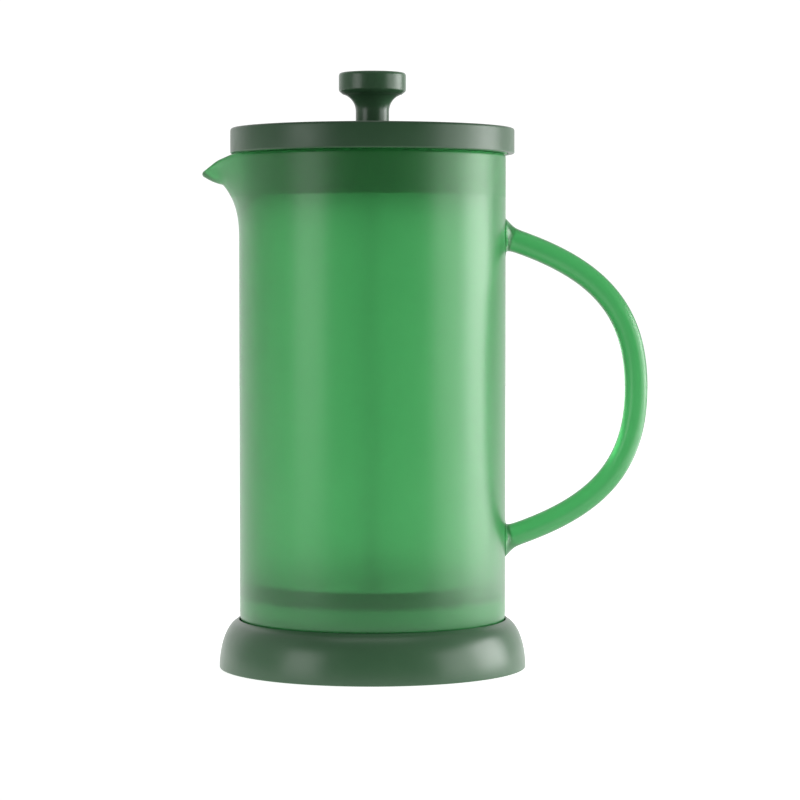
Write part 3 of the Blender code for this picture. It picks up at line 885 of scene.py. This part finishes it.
def make_knob():
    """The knob, a disc on a flaring neck, and the insert that the rod screws into."""
    flare_foot = 208.8 * MM
    flare_height = 6.6 * MM
    under = 216.4 * MM             # height of the disc's lower edge
    bore = INSERT_RADIUS + GAP
    flare = arc(KNOB_RADIUS, flare_foot, KNOB_RADIUS - NECK_RADIUS, 104, 180, 30,
                height=flare_height)
    disc = rounded([
        (0, KNOB_TOP), (KNOB_RADIUS, KNOB_TOP, 1.4 * MM), (KNOB_RADIUS, under, 0.7 * MM),
        flare[0],
    ], closed=False, steps=8)
    foot = rounded([
        flare[-1], (NECK_RADIUS, KNOB_FOOT, 0.3 * MM), (bore, KNOB_FOOT, 0.2 * MM),
        (bore, INSERT_TOP + GAP), (0, INSERT_TOP + GAP),
    ], closed=False)
    knob = turned("knob", disc + flare[1:-1] + foot, closed=False)
    piece(knob, "plunger", PLASTIC, "green_plastic", "plunger_knob")

    insert_foot = KNOB_FOOT + 0.5 * MM
    insert = turned("threaded_insert", rounded([
        (PART_BORE, INSERT_TOP, 0.2 * MM), (INSERT_RADIUS, INSERT_TOP, 0.2 * MM),
        (INSERT_RADIUS, insert_foot, 0.2 * MM), (PART_BORE, insert_foot, 0.2 * MM),
    ]), steps=MEDIUM)
    piece(insert, "plunger", BRASS, "brass", "knob_insert")


THREAD_PITCH = 0.7 * MM
THREAD_DEPTH = 0.35 * MM
LOWER_THREAD = 12.0 * MM
UPPER_THREAD = 11.0 * MM
RUN_OUT = 1.0 * MM                 # length over which a thread grows to its full depth
ROD_CHAMFER = 0.5 * MM


def make_rod():
    """A plain rod whose two ends carry a screw thread."""
    step = THREAD_PITCH / 8
    shank_steps = 20
    ends = [ROD_BOTTOM + LOWER_THREAD, ROD_TOP - UPPER_THREAD]
    count = [ceil(LOWER_THREAD / step), ceil(UPPER_THREAD / step)]
    heights = [ROD_BOTTOM + LOWER_THREAD * i / count[0] for i in range(count[0] + 1)]
    heights += [ends[0] + (ends[1] - ends[0]) * i / shank_steps for i in range(1, shank_steps)]
    heights += [ends[1] + UPPER_THREAD * i / count[1] for i in range(count[1] + 1)]
    columns = []
    sides = 48
    for side in range(sides):
        turn = 2 * pi * side / sides
        column = [(0, 0, ROD_BOTTOM)]
        for z in heights:
            radius = ROD_RADIUS
            inside = min(max(ends[0] - z, z - ends[1]), RUN_OUT)
            if inside > 0:
                phase = (z / THREAD_PITCH - side / sides) % 1.0
                radius -= THREAD_DEPTH * abs(2 * phase - 1) * inside / RUN_OUT
            to_end = min(z - ROD_BOTTOM, ROD_TOP - z)
            radius = min(radius, ROD_RADIUS - ROD_CHAMFER + to_end)
            column.append((radius * cos(turn), radius * sin(turn), z))
        column.append((0, 0, ROD_TOP))
        columns.append(column)
    rod = swept("threaded_rod", columns, closed_rows=False)
    piece(rod, "plunger", STEEL, "steel", "plunger_rod")


def make_coil():
    """The fine coil spring, bent into a ring that presses the mesh against the glass."""
    per_turn = 14
    line = bpy.data.curves.new("coil_spring", "CURVE")
    line.dimensions = "3D"
    line.bevel_depth = COIL_WIRE
    line.bevel_resolution = 2
    spline = line.splines.new("POLY")
    spline.use_cyclic_u = True
    count = COIL_TURNS * per_turn
    spline.points.add(count - 1)
    small = COIL_RADIUS - COIL_WIRE
    for number, point in enumerate(spline.points):
        around = 2 * pi * number / count
        across = 2 * pi * number / per_turn
        r = COIL_RING + small * cos(across)
        point.co = (r * cos(around), r * sin(around), COIL_CENTRE + small * sin(across), 1)
    coil = bpy.data.objects.new("coil_spring", line)
    bpy.context.scene.collection.objects.link(coil)
    piece(coil, "plunger", STEEL, "steel", "spring_coil")


def hole_cutters(count, ring, radius, bottom, top):
    """Upright cylinders, spaced evenly on a ring."""
    sides = 40
    cutters = []
    for number in range(count):
        turn = 2 * pi * number / count
        shape = bmesh.new()
        place = Matrix.Translation((ring * cos(turn), ring * sin(turn), (bottom + top) / 2))
        bmesh.ops.create_cone(shape, cap_ends=True, segments=sides, radius1=radius,
                              radius2=radius, depth=top - bottom, matrix=place)
        cutters.append(mesh_from("hole", shape))
    return cutters


def make_plates():
    """The dished plate over the mesh and the perforated one under it."""
    dish_foot, dish_brim = 12 * MM, 17 * MM
    bend = 1.5 * MM
    slant = 0.4 * MM               # how much wider the dish is below than above
    hub = MESH_TOP + 0.4 * MM
    high = COIL_CENTRE - PLATE / 2
    edge = COIL_RING - COIL_RADIUS - GAP
    plate = turned("dished_plate", rounded([
        (PART_BORE, hub + PLATE), (dish_foot, hub + PLATE, bend),
        (dish_brim, high + PLATE, bend), (edge, high + PLATE, 0.25 * MM),
        (edge, high, 0.25 * MM), (dish_brim + slant, high, bend),
        (dish_foot + slant, hub, bend), (PART_BORE, hub),
    ]))
    combine(plate, hole_cutters(8, 29 * MM, 5 * MM, hub, high + 3 * MM), "DIFFERENCE")
    piece(plate, "plunger", STEEL, "steel", "spring_plate")

    outer = BOX["cross_plate"][1].y
    low = BOX["cross_plate"][0].z
    cross = turned("perforated_plate", rounded([
        (PART_BORE, CROSS_TOP), (outer, CROSS_TOP, 0.3 * MM), (outer, low, 0.3 * MM),
        (PART_BORE, low),
    ]))
    holes = hole_cutters(10, 32 * MM, 6 * MM, low - PLATE, CROSS_TOP + PLATE)
    holes += hole_cutters(6, 17 * MM, 4.5 * MM, low - PLATE, CROSS_TOP + PLATE)
    combine(cross, holes, "DIFFERENCE")
    piece(cross, "plunger", STEEL, "steel", "cross_plate")


def make_cloth():
    """The disc of wire cloth, with its edge turned up."""
    rim_top = BOX["filter_mesh"][1].z
    rim_inner = FILTER_RADIUS - MESH_THICKNESS
    cloth = turned("wire_cloth_disc", rounded([
        (rim_inner, rim_top, 0.2 * MM), (FILTER_RADIUS, rim_top, 0.2 * MM),
        (FILTER_RADIUS, FILTER_BOTTOM, 1.2 * MM), (PART_BORE, FILTER_BOTTOM),
        (PART_BORE, MESH_TOP), (rim_inner, MESH_TOP, 0.7 * MM),
    ]))
    piece(cloth, "plunger", CLOTH, "steel", "filter_mesh")


def make_nut(name, node, blind):
    """A hexagon nut with chamfered corners; a blind one is closed from below."""
    low, high = BOX[node]
    across = high.x                # half the distance over two flats
    corner = high.y
    tall = high.z - low.z
    face = across * 0.97           # radius of the flat ring on the nut's face
    slope = 0.55                   # fall of the chamfer for each step outwards
    bevel = 0.3 * MM
    steps = 120
    columns = []
    for number in range(steps):
        turn = 2 * pi * number / steps
        flat = (turn + pi / 6) % (pi / 3) - pi / 6
        hexagon = across / cos(flat)
        outer = [(min(hexagon, face), high.z)]
        for row in range(9):
            drop = (corner - face) * row / 8
            outer.append((min(hexagon, face + drop), high.z - drop * slope))
        outer += [(r, low.z + high.z - z) for r, z in outer[::-1]]
        mouth = [(PART_BORE, high.z - bevel), (PART_BORE + bevel, high.z)]
        if blind:
            bottom = [(0, ROD_BOTTOM - GAP), (PART_BORE, ROD_BOTTOM - GAP)]
            outline = bottom + mouth + outer + [(0, low.z)]
        else:
            outline = outer + [(PART_BORE + bevel, low.z), (PART_BORE, low.z + bevel)] + mouth
        columns.append([(r * cos(turn), r * sin(turn), z) for r, z in outline])
    nut = swept(name, columns, closed_rows=not blind, angle=25)
    piece(nut, "plunger", STEEL, "steel", node)


make_carafe()
make_base()
make_lid()
make_guide()
make_knob()
make_rod()
make_coil()
make_plates()
make_cloth()
make_nut("locking_nut", "lock_nut", blind=False)
make_nut("cap_nut", "hub_nut", blind=True)
